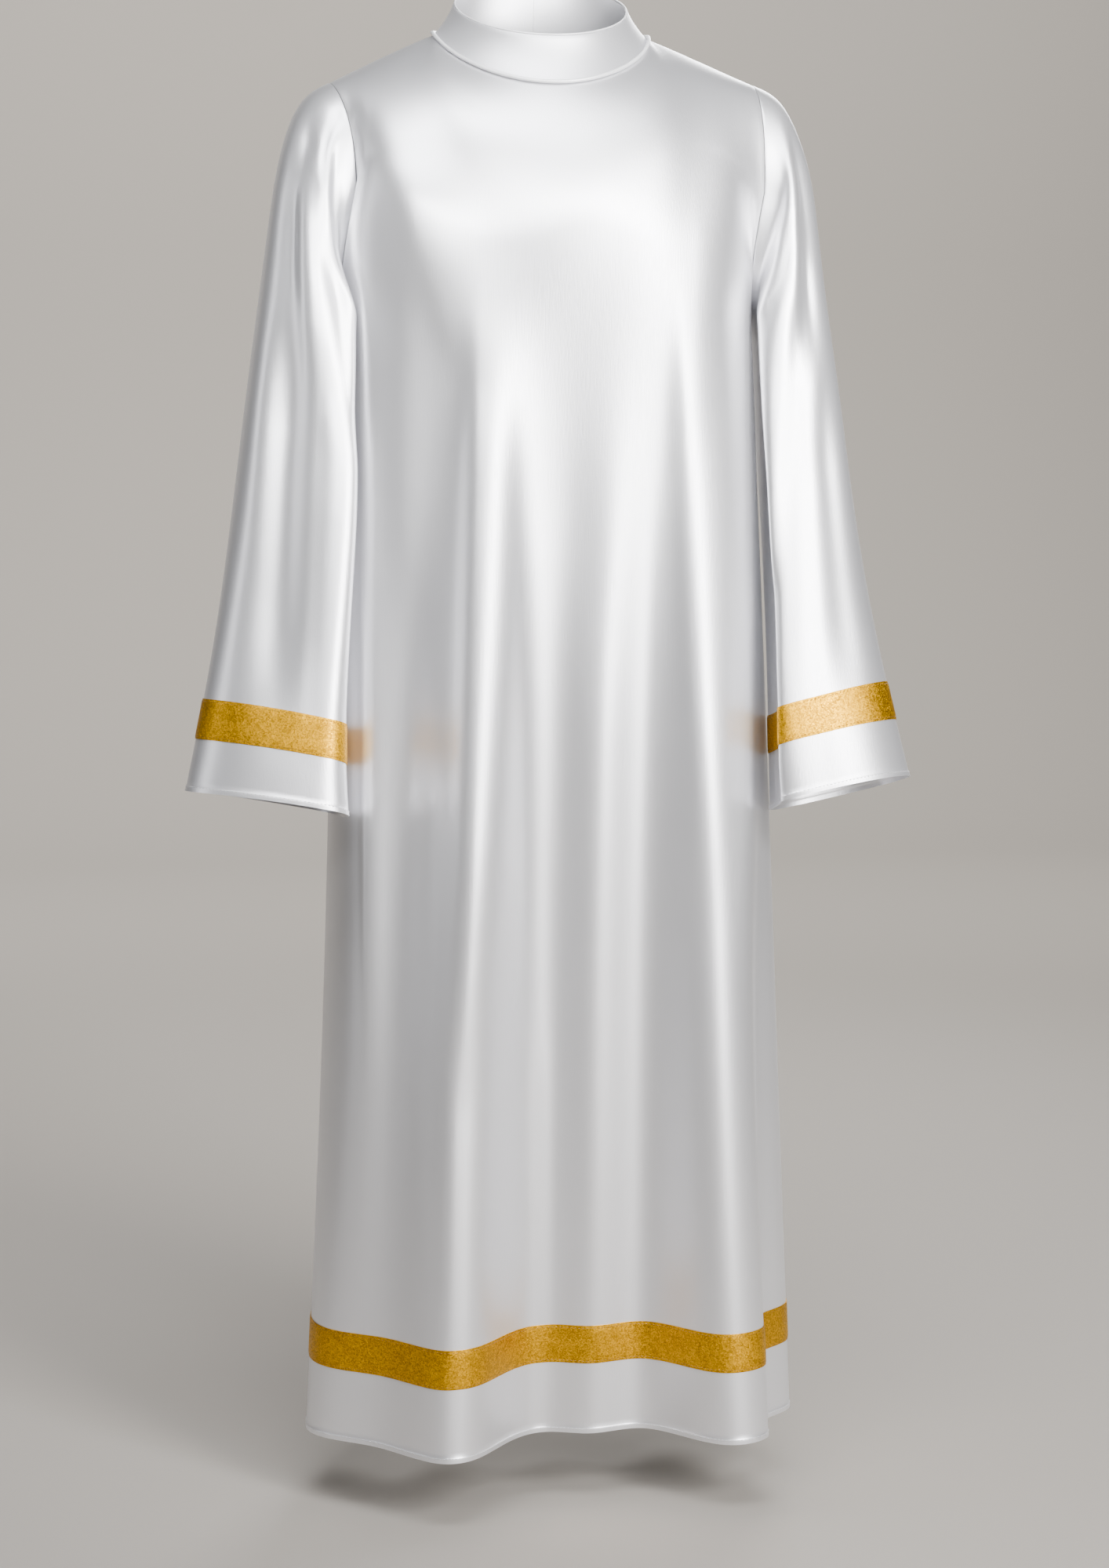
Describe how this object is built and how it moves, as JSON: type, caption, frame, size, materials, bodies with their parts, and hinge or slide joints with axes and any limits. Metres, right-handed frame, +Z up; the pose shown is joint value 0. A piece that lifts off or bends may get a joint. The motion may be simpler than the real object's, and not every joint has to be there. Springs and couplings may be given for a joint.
{
  "type": "alb robe",
  "caption": "Full-length white satin alb robe with a stand collar, wide open sleeves and plain gold bands round the hem and the cuffs, in its worn, hollow form.",
  "frame": {"origin": "midway between the two points where the shoulder seams meet the collar, where the wearer's shoulders and neck hold the robe", "axes": "+Z up towards the collar, the front of the robe faces -Y, +X to the viewer's right from in front"},
  "size_m": [0.732, 0.3049, 1.4773],
  "materials": {
    "white_satin": "smooth white polyester satin with a soft sheen",
    "gold_cloth": "gold metallic cloth with a fine glitter"
  },
  "bodies": {
    "root": {"front": "white_satin", "back_left": "white_satin", "back_right": "white_satin", "sleeve_left": "white_satin", "sleeve_right": "white_satin", "collar": "white_satin", "collar_piping": "white_satin", "hem_band_front": "gold_cloth", "hem_band_back": "gold_cloth", "cuff_band_left": "gold_cloth", "cuff_band_right": "gold_cloth"}
  },
  "joints": []
}
